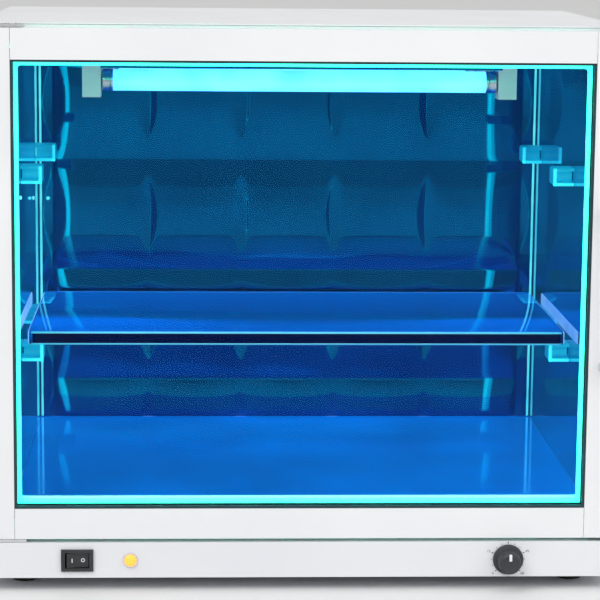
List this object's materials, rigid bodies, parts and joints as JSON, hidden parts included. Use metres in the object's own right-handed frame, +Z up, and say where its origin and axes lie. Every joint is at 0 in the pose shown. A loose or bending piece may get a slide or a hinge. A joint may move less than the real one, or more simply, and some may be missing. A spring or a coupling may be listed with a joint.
{
  "type": "uv sterilizer cabinet",
  "caption": "White tabletop ultraviolet sterilising cabinet with a mirror-polished chamber, glass shelf, lamps in the roof, control strip and hinged glazed door.",
  "frame": {"origin": "middle of the underside, at the level the feet stand on", "axes": "+Z up, the door faces -Y, +X to the right of someone facing the door"},
  "size_m": [0.456, 0.341, 0.405],
  "materials": {
    "white_paint": "satin powder coat",
    "mirror_steel": "mirror-polished stainless steel, cushion-embossed on the back wall",
    "bright_steel": "satin",
    "zinc_steel": "zinc plated",
    "clear_glass": "clear tempered, polished edges",
    "lamp_quartz": "lit quartz tube",
    "cloudy_plastic": "translucent, fluoresces cyan under the lamps",
    "white_plastic": "moulded",
    "black_plastic": "fine texture",
    "amber_lens": "lit lens",
    "black_rubber": "matte",
    "white_vinyl": "soft, fluoresces cyan under the lamps"
  },
  "bodies": {
    "cabinet": {"base_pan": "zinc_steel", "side_panel_left": "white_paint", "side_panel_right": "white_paint", "top_panel": "white_paint", "back_cover": "white_paint", "face_frame": "white_paint", "control_panel": "white_paint", "foot_front_left": "black_rubber", "foot_front_right": "black_rubber", "foot_rear_left": "black_rubber", "foot_rear_right": "black_rubber", "liner_floor": "mirror_steel", "liner_ceiling": "mirror_steel", "liner_left": "mirror_steel", "liner_right": "mirror_steel", "liner_back": "mirror_steel", "shelf_support_lower_front_left": "cloudy_plastic", "shelf_support_lower_front_right": "cloudy_plastic", "shelf_support_lower_rear_left": "cloudy_plastic", "shelf_support_lower_rear_right": "cloudy_plastic", "shelf_support_upper_front_left": "cloudy_plastic", "shelf_support_upper_front_right": "cloudy_plastic", "shelf_support_upper_rear_left": "cloudy_plastic", "shelf_support_upper_rear_right": "cloudy_plastic", "lamp_reflector": "mirror_steel", "lamp_holder_front_left": "white_plastic", "lamp_holder_front_right": "white_plastic", "lamp_holder_rear_left": "white_plastic", "lamp_holder_rear_right": "white_plastic", "ballast": "zinc_steel", "terminal_block": "white_plastic", "mains_inlet": "black_plastic", "switch_housing": "black_plastic", "pilot_lens": "amber_lens", "timer_body": "black_plastic", "interlock_switch": "black_plastic", "catch_magnet": "zinc_steel", "supply_lead": "black_rubber", "lamp_lead": "black_rubber", "hinge_bracket_top": "bright_steel", "hinge_bracket_bottom": "bright_steel", "hinge_pin_top": "zinc_steel", "hinge_pin_bottom": "zinc_steel"},
    "door": {"door_stile_left": "white_paint", "door_stile_right": "white_paint", "door_rail_top": "white_paint", "door_rail_bottom": "white_paint", "door_glass": "clear_glass", "glazing_seal": "black_rubber", "door_gasket": "white_vinyl", "pull_handle": "bright_steel", "hinge_bush_top": "white_plastic", "hinge_bush_bottom": "white_plastic", "catch_strike": "zinc_steel"},
    "shelf": {"glass_shelf": "clear_glass"},
    "rocker": {"power_rocker": "black_plastic"},
    "knob": {"timer_knob": "black_plastic"},
    "plunger": {"interlock_plunger": "white_plastic"},
    "front_lamp": {"uv_lamp_front": "lamp_quartz"},
    "rear_lamp": {"uv_lamp_rear": "lamp_quartz"}
  },
  "joints": [
    {"name": "door_hinge", "type": "hinge", "parent": "cabinet", "child": "door", "pos_m": [-0.222, -0.1365, 0.22], "axis": [0, 0, -1], "range_deg": [0, 110]},
    {"name": "shelf_slide", "type": "slide", "parent": "cabinet", "child": "shelf", "axis": [0, -1, 0], "range_m": [0, 0.02]},
    {"name": "rocker_tilt", "type": "hinge", "parent": "cabinet", "child": "rocker", "pos_m": [-0.16, -0.142, 0.023], "axis": [0, 0, -1], "range_deg": [0, 20]},
    {"name": "timer_turn", "type": "hinge", "parent": "cabinet", "child": "knob", "pos_m": [0.15, -0.1425, 0.023], "axis": [0, 1, 0], "range_deg": [-135, 135]},
    {"name": "plunger_slide", "type": "slide", "parent": "cabinet", "child": "plunger", "axis": [0, -1, 0], "range_m": [0, 0.003]},
    {"name": "front_lamp_twist", "type": "hinge", "parent": "cabinet", "child": "front_lamp", "pos_m": [0, -0.0615, 0.361], "axis": [1, 0, 0], "range_deg": [0, 90]},
    {"name": "rear_lamp_twist", "type": "hinge", "parent": "cabinet", "child": "rear_lamp", "pos_m": [0, 0.0725, 0.361], "axis": [1, 0, 0], "range_deg": [0, 90]}
  ],
  "couplings": [
    {"joint": "plunger_slide", "follows": "door_hinge", "m_per_rad": 0.00156}
  ]
}
